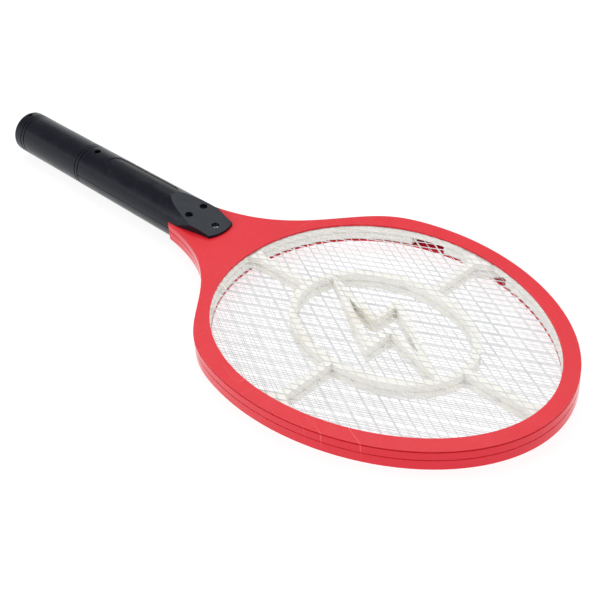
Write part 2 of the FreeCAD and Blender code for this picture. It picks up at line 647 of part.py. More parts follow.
def push_button():
    """Oval button with the flange that keeps it in the shell and the stem behind it."""
    cap = prism(stadium(BUTTON_X, BUTTON_L, BUTTON_W), BUTTON_FACE_Z, BUTTON_FLANGE_Z + 0.5)
    face_edges = [edge for edge in cap.Edges if edge.BoundBox.ZMax < BUTTON_FACE_Z + 0.01]
    cap = cap.makeFillet(0.6, face_edges)
    flange = prism(stadium(BUTTON_X, BUTTON_L + 3.0, BUTTON_W + 2.2), BUTTON_FLANGE_Z, BUTTON_FLANGE_Z + 1.0)
    stem = post(BUTTON_X, 0, BUTTON_FLANGE_Z, SWITCH_BOTTOM - 1.5, PLUNGER_R)
    return cap.fuse([flange, stem])


def switch_plunger():
    return post(BUTTON_X, 0, SWITCH_BOTTOM - 1.5, SWITCH_BOTTOM + 1.0, PLUNGER_R)


def push_switch_body():
    body = box(BUTTON_X - 4.0, BUTTON_X + 4.0, -4.0, 4.0, SWITCH_BOTTOM, BOARD_BOTTOM)
    return body.cut(post(BUTTON_X, 0, SWITCH_BOTTOM - 1.0, SWITCH_BOTTOM + 2.6, PLUNGER_R + 0.05))


def button_spring():
    """Coil spring round the stem, between the button flange and the switch body."""
    wire_r = 0.22
    radius = 2.5
    bottom = BUTTON_FLANGE_Z + 1.0 + wire_r
    height = SWITCH_BOTTOM - wire_r - bottom
    helix = Part.makeHelix(height / 4.0, height, radius)
    profile = Part.Wire(Part.Circle(V(radius, 0, 0), V(0, 1, 0), wire_r).toShape())
    coil = Part.Wire(helix).makePipeShell([profile], True, True)
    coil.translate(V(BUTTON_X, 0, bottom))
    return coil


def slide_knob():
    """Ribbed slider outside the shell, stem through the slot, tongue into the switch."""
    outside = box(SLIDE_X - 5.2, SLIDE_X - 0.2, -2.6, 2.6, 0.5, FLOOR_Z - 0.05)
    for offset in (-4.2, -2.95, -1.7):
        outside = outside.cut(box(SLIDE_X + offset, SLIDE_X + offset + 0.5, -3.0, 3.0, 0.0, 0.9))
    stem = box(SLIDE_X - 4.4, SLIDE_X - 1.0, -1.6, 1.6, FLOOR_Z - 0.1, PAD_Z + 0.3)
    tongue = box(SLIDE_X - 3.5, SLIDE_X - 1.9, -0.8, 0.8, PAD_Z, SLIDE_BODY_BOTTOM + 1.4)
    return outside.fuse([stem, tongue])


def slide_switch_body():
    middle = SLIDE_X - 2.7 + SLIDE_TRAVEL / 2.0
    body = box(middle - 6.0, middle + 6.0, -3.0, 3.0, SLIDE_BODY_BOTTOM, BOARD_BOTTOM)
    half = SLIDE_TRAVEL / 2.0 + 0.8 + 0.1
    low = SLIDE_BODY_BOTTOM - 1.0
    return body.cut(box(middle - half, middle + half, -0.85, 0.85, low, low + 3.0))


# ---------------------------------------------------------------- screws and wires

def screw(x, y, seat_z, length, head_h):
    """Pan-head screw with a crossed recess, head up."""
    shank = post(x, y, seat_z - length + 1.5, seat_z, SCREW_R)
    point = Part.makeCone(0.4, SCREW_R, 1.5, V(x, y, seat_z - length), Z_AXIS)
    top = seat_z + head_h
    head = post(x, y, seat_z, top, SCREW_HEAD_R)
    head = head.makeFillet(0.5, [edge for edge in head.Edges if edge.BoundBox.ZMin > top - 0.1])
    cross = [box(x - 1.3, x + 1.3, y - 0.3, y + 0.3, top - 1.0, top + 1.0),
             box(x - 0.3, x + 0.3, y - 1.3, y + 1.3, top - 1.0, top + 1.0)]
    return shank.fuse([point, head]).cut(cross)


def handle_screws():
    places = [(NECK_SCREW_X, NECK_SCREW_Y, NECK_SEAT_Z), (NECK_SCREW_X, -NECK_SCREW_Y, NECK_SEAT_Z),
              (REAR_SCREW_X, 0, REAR_SEAT_Z)]
    return [screw(x, y, seat_z, SCREW_LENGTH, SCREW_HEAD_H) for x, y, seat_z in places]


def plug_leads():
    """Two wires from the blades over the cells and round the rear post to the board."""
    leads = []
    blade_top = AXIS_Z + BLADE_W / 2.0
    for side in (1, -1):
        leads.append(wire_along([V(BLADE_ROOT_X - 0.8, side * BLADE_Y, blade_top + 0.2),
                                 V(BLADE_ROOT_X - 0.6, side * (BLADE_Y - 0.4), blade_top + 2.0),
                                 V(BLADE_ROOT_X + 2.0, side * 3.0, AXIS_Z + 8.0),
                                 V(CELL_REAR_X + 7.0, side * 1.0, AXIS_Z + 8.4),
                                 V(CELL_REAR_X + 20.0, side * 1.2, AXIS_Z + 8.4),
                                 V(REAR_SCREW_X, side * 5.2, AXIS_Z + 6.0),
                                 V(BOARD_REAR_X + 1.8, side * 3.7, BOARD_TOP + 1.6),
                                 V(BOARD_REAR_X + 2.2, side * 3.4, BOARD_TOP + 0.2)]))
    return leads


def battery_leads():
    """Two wires from the front of the cells to the board."""
    front = CELL_REAR_X + CELL_L + 0.8
    leads = []
    for side in (1, -1):
        leads.append(wire_along([V(front + 0.55, side * CELL_Y, AXIS_Z),
                                 V(front + 2.2, side * (CELL_Y + 1.4), AXIS_Z + 1.0),
                                 V(BOARD_REAR_X - 1.0, side * 8.2, BOARD_TOP + 2.6),
                                 V(BOARD_REAR_X + 1.4, side * 8.4, BOARD_TOP + 1.4),
                                 V(BOARD_REAR_X + 1.6, side * 8.4, BOARD_TOP + 0.2)]))
    return leads


def neck_run(y, boss_y):
    """Points of a lead from the board, over its front edge, through the neck and past the tip boss."""
    return [V(BOARD_FRONT_X - 1.5, y, BOARD_TOP + 0.2),
            V(BOARD_FRONT_X - 1.2, y, BOARD_TOP + 0.9),
            V(BOARD_FRONT_X + 0.6, y, BOARD_TOP + 1.2),
            V(TANG_REAR_X + 2.0, y, FRAME_MID + 0.6),
            V(TANG_REAR_X + 12.0, y, FRAME_MID),
            V(NECK_SCREW_X, y, FRAME_MID),
            V(TIP_SCREW_X, boss_y, FRAME_MID)]


def centre_mesh_lead():
    """High-voltage wire from the board through the neck to the centre mesh."""
    contact = V(-4.8, 0.4, FRAME_MID + MESH_T / 2.0 + WIRE_R + 0.15)
    return wire_along(neck_run(1.75, 5.3) + [contact])


def outer_mesh_leads():
    """Return wires to the solder tabs of the top and the bottom mesh."""
    level = TOP_MESH_Z - MESH_T / 2.0 - WIRE_R - 0.15 - FRAME_MID
    leads = []
    for side, y, boss_y in ((1, -0.5, -4.5), (-1, -1.75, -5.8)):
        bend = V(-10.0, OUTER_TAB_Y + 1.2, FRAME_MID + side * 0.8 * level)
        contact = V(-4.0, OUTER_TAB_Y, FRAME_MID + side * level)
        leads.append(wire_along(neck_run(y, boss_y) + [bend, contact]))
    return leads


# ---------------------------------------------------------------- build

def build():
    half = frame_half()
    save("upper_frame_shell", upper_frame_shell(half))
    save("lower_frame_shell", lower_frame_shell(half))
    save("upper_spacer", spacer(FRAME_MID + MESH_T / 2.0, TOP_MESH_Z - MESH_T / 2.0, ()))
    save("lower_spacer", spacer(BOTTOM_MESH_Z + MESH_T / 2.0, FRAME_MID - MESH_T / 2.0, RING_GAPS))
    fine_mesh = mesh_plate(TOP_MESH_Z, FINE_PITCH_X, FINE_STRAND, OUTER_TAB_Y)
    save("top_mesh", fine_mesh)
    fine_mesh.translate(V(0, 0, BOTTOM_MESH_Z - TOP_MESH_Z))
    save("bottom_mesh", fine_mesh)
    save("centre_mesh", mesh_plate(FRAME_MID, COARSE_PITCH_X, COARSE_STRAND, 0.0))
    save("upper_handle_shell", upper_handle_shell())
    save("lower_handle_shell", lower_handle_shell())
    save("rear_cap", rear_cap())
    save("plug_block", plug_block())
    save("plug_blades", plug_blades())
    save("battery_cells", battery_cells())
    save("circuit_board", circuit_board())
    save("transformer_core", transformer_core())
    save("transformer_winding", transformer_winding())
    save("hv_capacitor", film_capacitor(**HV_CAPACITOR))
    save("mains_capacitor", film_capacitor(**MAINS_CAPACITOR))
    save("diodes", diodes())
    save("resistors", resistors())
    save("transistor", transistor())
    save("indicator_led", indicator_led())
    save("push_button", push_button())
    save("switch_plunger", switch_plunger())
    save("push_switch_body", push_switch_body())
    save("button_spring", button_spring())
    save("slide_knob", slide_knob())
    save("slide_switch_body", slide_switch_body())
    save("handle_screws", handle_screws())
    save("tip_screw", screw(TIP_SCREW_X, 0, TIP_SEAT_Z, TIP_SCREW_LENGTH, TIP_HEAD_H))
    save("plug_leads", plug_leads())
    save("battery_leads", battery_leads())
    save("centre_mesh_lead", centre_mesh_lead())
    save("outer_mesh_leads", outer_mesh_leads())


os.makedirs("parts", exist_ok=True)
build()
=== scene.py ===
import json
import math

import bpy
import bmesh
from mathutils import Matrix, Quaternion, Vector


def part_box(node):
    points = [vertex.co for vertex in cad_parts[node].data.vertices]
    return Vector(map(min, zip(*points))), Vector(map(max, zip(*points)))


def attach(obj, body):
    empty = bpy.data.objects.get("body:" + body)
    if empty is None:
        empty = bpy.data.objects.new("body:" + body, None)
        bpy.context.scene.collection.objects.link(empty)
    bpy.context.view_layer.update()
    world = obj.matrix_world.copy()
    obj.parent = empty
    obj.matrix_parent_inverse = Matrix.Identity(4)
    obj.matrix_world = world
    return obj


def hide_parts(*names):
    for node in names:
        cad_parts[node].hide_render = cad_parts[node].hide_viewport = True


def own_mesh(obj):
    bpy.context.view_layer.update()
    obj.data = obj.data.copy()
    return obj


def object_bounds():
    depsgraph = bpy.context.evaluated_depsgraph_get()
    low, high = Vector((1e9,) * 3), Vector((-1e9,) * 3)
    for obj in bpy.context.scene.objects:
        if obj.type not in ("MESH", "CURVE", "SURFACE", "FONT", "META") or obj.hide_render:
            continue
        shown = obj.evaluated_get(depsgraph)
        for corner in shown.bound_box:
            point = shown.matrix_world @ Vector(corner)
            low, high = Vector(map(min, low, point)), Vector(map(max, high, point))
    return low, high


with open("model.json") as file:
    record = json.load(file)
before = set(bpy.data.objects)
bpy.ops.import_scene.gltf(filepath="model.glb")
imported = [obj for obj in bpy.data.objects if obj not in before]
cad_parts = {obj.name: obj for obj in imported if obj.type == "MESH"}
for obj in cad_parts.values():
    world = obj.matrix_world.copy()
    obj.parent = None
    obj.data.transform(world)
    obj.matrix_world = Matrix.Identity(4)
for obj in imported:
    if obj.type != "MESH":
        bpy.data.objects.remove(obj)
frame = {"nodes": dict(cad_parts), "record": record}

cad_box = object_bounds()
nodes = frame["nodes"]
MM = 0.001
WHITE = (1.0, 1.0, 1.0)

# Egg outline of the mesh opening: x = centre + a cos t, y = b (1 + k cos t) sin t
OPENING_CENTRE = 110.9 * MM
OPENING_A = 105.0 * MM
OPENING_B = 83.1 * MM
OPENING_K = -0.088
# The nets go on under the rim by this much
MESH_REACH = 4.3 * MM

# Expanded metal: a diamond is one pitch long in X and half a pitch wide in Y
FINE_PITCH = 9.8 * MM
COARSE_PITCH = 19.6 * MM
FINE_STRAND = 0.31 * MM
COARSE_STRAND = 0.42 * MM
STRAND_HALF_T = 0.12 * MM
STRAND_TILT = math.radians(20)
# Shares of a strand's length: how far it runs past a bond, and where it is fully tilted
BOND_OVERLAP = 0.04
BOND_SHARE = 0.14
# Share of the tilt that is left at a bond
BOND_TWIST = 0.3

# Band between the two spacers: its inset from their walls, and tolerances to find the spacer's top faces
BOND_INSET = 0.08 * MM
WELD_DISTANCE = 0.001 * MM
LEVEL_TOLERANCE = 0.01 * MM

# Floor: radius of its flat middle, height and width of the curve round it, and its mesh
FLOOR_FLAT = 2.2
FLOOR_RISE = 1.5
FLOOR_STEPS = 12
FLOOR_SIDES = 96
FLOOR_GAP = 0.2 * MM
FLOOR_GREY = 0.25
FLOOR_GLOW = 0.84

# Light
SKY_STRENGTH = 0.32
LAMP_COLOUR = (0.975, 0.988, 1.0)

# Camera: place, point looked at, roll and lens
CAMERA_AT = Vector((0.4953, -0.4064, 0.4647))
CAMERA_AIM = Vector((0.0816, -0.0344, 0.0399))
CAMERA_ROLL = math.radians(-4.21)
CAMERA_LENS = 78.33
CAMERA_SENSOR = 36.0
CAMERA_NEAR = 0.01

# Relief: strength of the grain on moulded plastic and on its polished walls, and depth of the other reliefs
GRAIN_STRENGTH = 0.5
POLISHED_STRENGTH = 0.05
FINE_RELIEF = 0.05 * MM


# ---------------------------------------------------------------- node helpers
# Scales of noise and waves are per metre: the higher, the finer.

def feed(tree, socket, value):
    """Link another socket to this one, or set this one to a plain value."""
    if isinstance(value, bpy.types.NodeSocket):
        tree.links.new(value, socket)
    else:
        socket.default_value = value


def set_inputs(tree, node, **inputs):
    """Feed a node's sockets by name, with _ for each space in the name."""
    for key, value in inputs.items():
        feed(tree, node.inputs[key.replace("_", " ")], value)


def add_node(tree, kind, settings=None, **inputs):
    """Add a shader node; settings go on the node, inputs on its sockets by name."""
    node = tree.nodes.new(kind)
    for key, value in (settings or {}).items():
        setattr(node, key, value)
    set_inputs(tree, node, **inputs)
    return node


def object_coords(tree, scale=(1.0, 1.0, 1.0), turn=0.0):
    """Object coordinates, turned about Z by an angle and then scaled."""
    coords = add_node(tree, "ShaderNodeTexCoord").outputs["Object"]
    turned = add_node(tree, "ShaderNodeMapping", Vector=coords, Rotation=(0.0, 0.0, turn))
    scaled = add_node(tree, "ShaderNodeMapping", Vector=turned.outputs["Vector"], Scale=scale)
    return scaled.outputs["Vector"]


def noise(tree, where, scale, detail=3.0, rough=0.5):
    """Soft random value, about 0.5 on average."""
    node = add_node(tree, "ShaderNodeTexNoise", Vector=where, Scale=scale, Detail=detail, Roughness=rough)
    return node.outputs["Fac"]


def ramp(tree, value, low, high, low_out=0.0, high_out=1.0):
    """Map the span from low to high on to the span from low_out to high_out, clamped at its ends."""
    node = add_node(tree, "ShaderNodeMapRange", {"clamp": True}, Value=value,
                    From_Min=low, From_Max=high, To_Min=low_out, To_Max=high_out)
    return node.outputs["Result"]


def patches(tree, where, scale, low, high, low_out=0.0, high_out=1.0, detail=3.0, rough=0.5):
    """Random patches: noise below low gives low_out, and noise above high gives high_out."""
    return ramp(tree, noise(tree, where, scale, detail, rough), low, high, low_out, high_out)


def bands(tree, where, scale, direction, low, high, **warp):
    """Even bands across a direction, 0 between them and 1 on them."""
    settings = {"wave_type": "BANDS", "bands_direction": direction}
    wave = add_node(tree, "ShaderNodeTexWave", settings, Vector=where, Scale=scale, **warp)
    return ramp(tree, wave.outputs["Fac"], low, high)


def mix(tree, factor, first, second):
    """Mix two colours; each is a socket or an (r, g, b)."""
    node = add_node(tree, "ShaderNodeMix", {"data_type": "RGBA"})
    factor_in, first_in, second_in = node.inputs[0], node.inputs[6], node.inputs[7]
    feed(tree, factor_in, factor)
    for socket, value in ((first_in, first), (second_in, second)):
        feed(tree, socket, (*value, 1.0) if isinstance(value, tuple) else value)
    colour_out = node.outputs[2]
    return colour_out


def math_node(tree, operation, first, second):
    """One step of arithmetic on two values; each is a socket or a number."""
    node = add_node(tree, "ShaderNodeMath", {"operation": operation})
    feed(tree, node.inputs[0], first)
    feed(tree, node.inputs[1], second)
    return node.outputs[0]


def product(tree, first, second):
    return math_node(tree, "MULTIPLY", first, second)


def rounded_normal(tree, radius, samples=6):
    """Surface normal with the edges rounded off."""
    return add_node(tree, "ShaderNodeBevel", {"samples": samples}, Radius=radius).outputs["Normal"]


def relief(tree, height, strength, depth, **start):
    """Surface normal with a fine relief; start may give the normal to begin from."""
    node = add_node(tree, "ShaderNodeBump", Height=height, Strength=strength, Distance=depth, **start)
    return node.outputs["Normal"]


def edge_mask(tree, radius):
    """Near 1 along sharp edges, where the rounded normal leaves the true one, and 0 on flat faces."""
    geometry = add_node(tree, "ShaderNodeNewGeometry")
    dot = add_node(tree, "ShaderNodeVectorMath", {"operation": "DOT_PRODUCT"})
    feed(tree, dot.inputs[0], rounded_normal(tree, radius))
    feed(tree, dot.inputs[1], geometry.outputs["Normal"])
    return ramp(tree, dot.outputs["Value"], 0.999, 0.9)


def flat_mask(tree):
    """1 on faces that look up or down, 0 on upright walls."""
    coords = add_node(tree, "ShaderNodeTexCoord")
    parts = add_node(tree, "ShaderNodeSeparateXYZ", Vector=coords.outputs["Normal"])
    return ramp(tree, math_node(tree, "ABSOLUTE", parts.outputs["Z"], 0.0), 0.4, 0.8)


def scratch_mask(tree, where):
    """Thin straight scratches in two directions, in a few patches only."""
    total = None
    for turn, patch_scale in ((0.35, 17.0), (1.75, 26.0)):
        stretched = object_coords(tree, (22.0, 1400.0, 22.0), turn)
        streaks = patches(tree, stretched, 1.0, 0.70, 0.76, detail=1.0, rough=0.4)
        places = patches(tree, where, patch_scale, 0.52, 0.62, detail=2.0)
        lines = product(tree, streaks, places)
        total = lines if total is None else math_node(tree, "MAXIMUM", total, lines)
    return total


def start_material(name):
    """A new material with its node tree and its shader."""
    material = bpy.data.materials.new(name)
    material.use_nodes = True
    return material, material.node_tree, material.node_tree.nodes["Principled BSDF"]


# ---------------------------------------------------------------- kinds of surface

def plastic_colour(tree, where, colour, shade, painted_wall_shade):
    """Slow drift and fine speckle between two colours, and painted shade: a darker colour on upright walls,
    when one is given.
    """
    drift = patches(tree, where, 30.0, 0.35, 0.65, detail=4.0, rough=0.6)
    speckle = patches(tree, where, 420.0, 0.3, 0.7, detail=2.0, rough=0.6)
    half_each = product(tree, math_node(tree, "ADD", drift, speckle), 0.5)
    base = mix(tree, half_each, colour, shade)
    # Painted shade: upright walls take a darker colour than the flat faces.
    if painted_wall_shade:
        base = mix(tree, flat_mask(tree), painted_wall_shade, base)
    return base


def plastic_finish(tree, where, roughness, wall_roughness):
    """Roughness, and strength of the grain; upright walls may be polished."""
    rough = patches(tree, where, 90.0, 0.3, 0.7, roughness - 0.06, roughness + 0.08, detail=5.0, rough=0.7)
    if wall_roughness is None:
        return rough, GRAIN_STRENGTH
    flat = flat_mask(tree)
    wall = math_node(tree, "SUBTRACT", 1.0, flat)
    smooth = patches(tree, where, 40.0, 0.3, 0.7, wall_roughness - 0.03, wall_roughness + 0.03)
    rough = math_node(tree, "ADD", product(tree, rough, flat), product(tree, smooth, wall))
    return rough, ramp(tree, flat, 0.0, 1.0, POLISHED_STRENGTH, GRAIN_STRENGTH)


def moulded_plastic(name, colour, shade, wear, roughness, gloss, edge=0.15 * MM, grain_depth=0.012 * MM,
                    scratches=0.0, wall_roughness=None, painted_wall_shade=None, tint=WHITE):
    """Moulded plastic: slow colour drift, fine grain, patchy edge wear and faint scratches.

    Walls may be smoother than the flat faces, as the mould leaves them, and may be given a darker colour as
    painted shade."""
    material, tree, shader = start_material(name)
    where = object_coords(tree)
    base = plastic_colour(tree, where, colour, shade, painted_wall_shade)
    worn_places = patches(tree, where, 60.0, 0.4, 0.7, 0.1, 0.7)
    base = mix(tree, product(tree, edge_mask(tree, edge), worn_places), base, wear)
    if scratches:
        base = mix(tree, product(tree, scratch_mask(tree, where), scratches), base, wear)
    rough, strength = plastic_finish(tree, where, roughness, wall_roughness)
    grain = noise(tree, where, 1500.0, 2.0, 0.6)
    normal = relief(tree, grain, strength, grain_depth, Normal=rounded_normal(tree, edge))
    set_inputs(tree, shader, Base_Color=base, Roughness=rough, Specular_IOR_Level=gloss,
               Specular_Tint=(*tint, 1.0), Normal=normal)
    return material


def metal(name, bright, dull, low_rough, high_rough, streak=(1.0, 1.0, 1.0), metallic=1.0):
    """Bare or plated metal with uneven dullness and fine drawing marks."""
    material, tree, shader = start_material(name)
    where = object_coords(tree)
    dull_places = patches(tree, where, 70.0, 0.35, 0.7, detail=4.0, rough=0.6)
    marks = noise(tree, object_coords(tree, streak), 700.0, 3.0, 0.6)
    set_inputs(tree, shader, Metallic=metallic,
               Base_Color=mix(tree, dull_places, bright, dull),
               Roughness=ramp(tree, marks, 0.3, 0.7, low_rough, high_rough),
               Normal=relief(tree, marks, 0.3, 0.03 * MM))
    return material


def coated(name, colour, shade, roughness, band_scale=0.0, band_colour=None, direction="X"):
    """Glossy coat or sleeve, optionally with painted bands across it."""
    material, tree, shader = start_material(name)
    where = object_coords(tree)
    base = mix(tree, patches(tree, where, 160.0, 0.35, 0.65), colour, shade)
    if band_scale:
        base = mix(tree, bands(tree, where, band_scale, direction, 0.86, 0.9), base, band_colour)
    grain = noise(tree, where, 500.0)
    set_inputs(tree, shader, Base_Color=base,
               Roughness=ramp(tree, grain, 0.3, 0.7, roughness - 0.05, roughness + 0.08),
               Normal=relief(tree, grain, 0.25, FINE_RELIEF))
    return material


# ---------------------------------------------------------------- materials

def rim_red():
    return moulded_plastic(
        "rim_red", colour=(0.76, 0.014, 0.028), shade=(0.69, 0.010, 0.022), wear=(0.86, 0.14, 0.15),
        roughness=0.36, gloss=0.35, grain_depth=0.020 * MM, scratches=0.5,
        # Painted shade: a darker red on the upright walls.
        wall_roughness=0.14, painted_wall_shade=(0.66, 0.010, 0.026))


def grip_black():
    return moulded_plastic(
        "grip_black", colour=(0.0040, 0.0042, 0.0085), shade=(0.0060, 0.0066, 0.0115),
        wear=(0.020, 0.022, 0.030), roughness=0.25, gloss=0.22, edge=0.3 * MM, scratches=0.12,
        tint=(0.85, 0.94, 1.0))


def plug_black():
    return moulded_plastic(
        "plug_black", colour=(0.0040, 0.0042, 0.0080), shade=(0.0060, 0.0064, 0.0105),
        wear=(0.012, 0.013, 0.018), roughness=0.27, gloss=0.22, tint=(0.85, 0.94, 1.0))


def button_red():
    return moulded_plastic(
        "button_red", colour=(0.62, 0.030, 0.036), shade=(0.56, 0.026, 0.030), wear=(0.8, 0.2, 0.2),
        roughness=0.34, gloss=0.5)


def knob_grey():
    return moulded_plastic(
        "knob_grey", colour=(0.40, 0.40, 0.41), shade=(0.34, 0.34, 0.35), wear=(0.6, 0.6, 0.6),
        roughness=0.45, gloss=0.5)


def spacer_ivory():
    """Ivory insulating plastic that lets some light through, with brownish scorch stains."""
    material, tree, shader = start_material("spacer_ivory")
    where = object_coords(tree)
    drift = patches(tree, where, 40.0, 0.35, 0.7, detail=4.0, rough=0.6)
    base = mix(tree, drift, (0.92, 0.905, 0.84), (0.90, 0.88, 0.81))
    stain = patches(tree, where, 17.0, 0.60, 0.76, 0.0, 0.40, detail=5.0, rough=0.65)
    base = mix(tree, stain, base, (0.72, 0.60, 0.40))
    rounded = rounded_normal(tree, 0.5 * MM, samples=8)
    normal = relief(tree, noise(tree, where, 900.0, 2.0), 0.3, FINE_RELIEF, Normal=rounded)
    set_inputs(tree, shader, Base_Color=base, Normal=normal,
               Roughness=patches(tree, where, 120.0, 0.3, 0.7, 0.38, 0.55),
               Subsurface_Weight=0.2, Subsurface_Radius=(1.0, 0.95, 0.8), Subsurface_Scale=2.5 * MM)
    return material


def mesh_sheet():
    return metal("mesh_sheet", bright=(0.76, 0.76, 0.77), dull=(0.62, 0.62, 0.64),
                 low_rough=0.42, high_rough=0.60, metallic=0.4)


def blade_nickel():
    return metal("blade_nickel", bright=(0.80, 0.77, 0.70), dull=(0.70, 0.66, 0.57),
                 low_rough=0.16, high_rough=0.30, streak=(1.0, 8.0, 8.0))


def screw_zinc():
    return metal("screw_zinc", bright=(0.70, 0.71, 0.74), dull=(0.48, 0.49, 0.52),
                 low_rough=0.22, high_rough=0.38)


def switch_steel():
    return metal("switch_steel", bright=(0.66, 0.66, 0.68), dull=(0.52, 0.52, 0.54),
                 low_rough=0.28, high_rough=0.42, streak=(1.0, 6.0, 1.0))


def board_green():
    """Green solder mask with copper tracks showing as lighter lines."""
    material, tree, shader = start_material("board_green")
    where = object_coords(tree)
    tracks = bands(tree, where, 210.0, "DIAGONAL", 0.55, 0.62, Distortion=4.0, Detail=1.0)
    set_inputs(tree, shader,
               Base_Color=mix(tree, tracks, (0.010, 0.09, 0.03), (0.022, 0.17, 0.06)),
               Roughness=patches(tree, where, 300.0, 0.3, 0.7, 0.25, 0.4),
               Normal=relief(tree, tracks, 0.4, FINE_RELIEF))
    return material


def cell_sleeve():
    return coated("cell_sleeve", colour=(0.02, 0.26, 0.09), shade=(0.03, 0.32, 0.11), roughness=0.25,
                  band_scale=17.0, band_colour=(0.75, 0.75, 0.72))


def winding_tape():
    return coated("winding_tape", colour=(0.74, 0.55, 0.08), shade=(0.66, 0.47, 0.06), roughness=0.30,
                  band_scale=260.0, band_colour=(0.55, 0.36, 0.04), direction="Z")


def resistor_tan():
    return coated("resistor_tan", colour=(0.60, 0.45, 0.25), shade=(0.52, 0.38, 0.20), roughness=0.35,
                  band_scale=160.0, band_colour=(0.20, 0.05, 0.02))


def component_black():
    return coated("component_black", colour=(0.015, 0.015, 0.016), shade=(0.022, 0.022, 0.023),
                  roughness=0.45)


def ferrite():
    return coated("ferrite", colour=(0.035, 0.036, 0.040), shade=(0.055, 0.056, 0.060), roughness=0.62)


def capacitor_red():
    return coated("capacitor_red", colour=(0.42, 0.045, 0.018), shade=(0.34, 0.034, 0.014), roughness=0.22)


def capacitor_yellow():
    return coated("capacitor_yellow", colour=(0.72, 0.52, 0.05), shade=(0.64, 0.45, 0.04), roughness=0.25)


def led_red():
    return coated("led_red", colour=(0.66, 0.03, 0.02), shade=(0.50, 0.02, 0.015), roughness=0.12)


def wire_red():
    return coated("wire_red", colour=(0.52, 0.025, 0.02), shade=(0.44, 0.02, 0.016), roughness=0.35)


def wire_black():
    return coated("wire_black", colour=(0.015, 0.015, 0.016), shade=(0.025, 0.025, 0.026), roughness=0.35)


def wire_white():
    return coated("wire_white", colour=(0.72, 0.72, 0.70), shade=(0.64, 0.64, 0.61), roughness=0.35)


def floor_white():
    """Matt floor that glows, so that it stays white round the object."""
    material, tree, shader = start_material("floor_white")
    set_inputs(tree, shader, Base_Color=(FLOOR_GREY, FLOOR_GREY, FLOOR_GREY, 1.0), Roughness=0.9,
               Specular_IOR_Level=0.1, Emission_Color=(*WHITE, 1.0), Emission_Strength=FLOOR_GLOW)
    return material


def paint_nodes():
    """Give every carried-over CAD node the material of its slot."""
    makers = {
        "frame_red": rim_red,
        "handle_black": grip_black,
        "plug_black": plug_black,
        "button_red": button_red,
        "knob_grey": knob_grey,
        "spacer_ivory": spacer_ivory,
        "blade_metal": blade_nickel,
        "screw_zinc": screw_zinc,
        "switch_steel": switch_steel,
        "spring_steel": switch_steel,
        "board_green": board_green,
        "cell_wrap": cell_sleeve,
        "winding_tape": winding_tape,
        "resistor_tan": resistor_tan,
        "component_black": component_black,
        "ferrite": ferrite,
        "capacitor_red": capacitor_red,
        "capacitor_yellow": capacitor_yellow,
        "led_red": led_red,
        "wire_red": wire_red,
        "wire_black": wire_black,
        "wire_white": wire_white,
    }
    looks = {maker: maker() for maker in dict.fromkeys(makers.values())}
    for part in frame["record"]["subparts"]:
        maker = makers.get(part["material_slot"])
        if maker:
            materials = nodes[part["node"]].data.materials
            materials.clear()
            materials.append(looks[maker])


# ---------------------------------------------------------------- meshes

def place_object(name, data):
    """A new object of the scene with this mesh, lamp or camera data."""
    placed = bpy.data.objects.new(name, data)
    bpy.context.scene.collection.objects.link(placed)
    return placed


def finish_mesh(name, bm, material):
    """Turn a bmesh into an object with one material, and free it."""
    data = bpy.data.meshes.new(name)
    bm.to_mesh(data)
    bm.free()
    data.materials.append(material)
    return place_object(name, data)


def inside_opening(point):
    """True inside the mesh opening, widened by the nets' reach under the rim."""
    u = (point.x - OPENING_CENTRE) / (OPENING_A + MESH_REACH)
    if abs(u) >= 1.0:
        return False
    v = point.y / ((OPENING_B + MESH_REACH) * (1.0 + OPENING_K * u))
    return u * u + v * v < 1.0


def strand_ring(bm, centre, side, half_width, angle):
    """The four corners of a strand's section, tilted by an angle."""
    up = Vector((0.0, 0.0, 1.0))
    across = (side * math.cos(angle) + up * math.sin(angle)) * half_width
    normal = (up * math.cos(angle) - side * math.sin(angle)) * STRAND_HALF_T
    corners = ((-1, -1), (1, -1), (1, 1), (-1, 1))
    return [bm.verts.new(centre + across * a + normal * b) for a, b in corners]


def add_strand(bm, start, end, half_width):
    """One twisted strand of expanded metal between two bonds."""
    side = Vector((0.0, 0.0, 1.0)).cross((end - start).normalized())
    if side.y < 0.0:
        side = -side
    stations = (
        (-BOND_OVERLAP, BOND_TWIST),
        (BOND_SHARE, 1.0),
        (1.0 - BOND_SHARE, 1.0),
        (1.0 + BOND_OVERLAP, BOND_TWIST),
    )
    rings = [strand_ring(bm, start.lerp(end, share), side, half_width, STRAND_TILT * twist)
             for share, twist in stations]
    for first, second in zip(rings, rings[1:]):
        for i in range(4):
            j = (i + 1) % 4
            bm.faces.new((first[i], first[j], second[j], second[i]))
    bm.faces.new(rings[0][::-1])
    bm.faces.new(rings[-1])


def expanded_metal(name, node, pitch, width, material):
    """Replace a perforated CAD plate by a net of twisted strands in the same place."""
    low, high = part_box(node)
    z_mid = (low[2] + high[2]) / 2.0
    half_x = pitch / 2.0
    half_y = half_x / 2.0
    columns = int(OPENING_A / half_x) + 2
    rows = int(OPENING_B / half_y) + 2
    bm = bmesh.new()
    for row in range(-rows, rows + 1):
        for column in range(-columns, columns + 1):
            if (row + column) % 2 == 0:
                continue
            start = Vector((OPENING_CENTRE + column * half_x, row * half_y, z_mid))
            for step in (1, -1):
                end = start + Vector((half_x, step * half_y, 0.0))
                if inside_opening(start) and inside_opening(end):
                    add_strand(bm, start, end, width / 2.0)
    bmesh.ops.recalc_face_normals(bm, faces=bm.faces)
    net = finish_mesh(name, bm, material)
    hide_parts(node)
    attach(net, "handle_and_head")


def build_nets():
    """The three nets, all from the same sheet metal."""
    sheet = mesh_sheet()
    expanded_metal("top_net", "top_mesh", FINE_PITCH, FINE_STRAND, sheet)
    expanded_metal("centre_net", "centre_mesh", COARSE_PITCH, COARSE_STRAND, sheet)
    expanded_metal("bottom_net", "bottom_mesh", FINE_PITCH, FINE_STRAND, sheet)


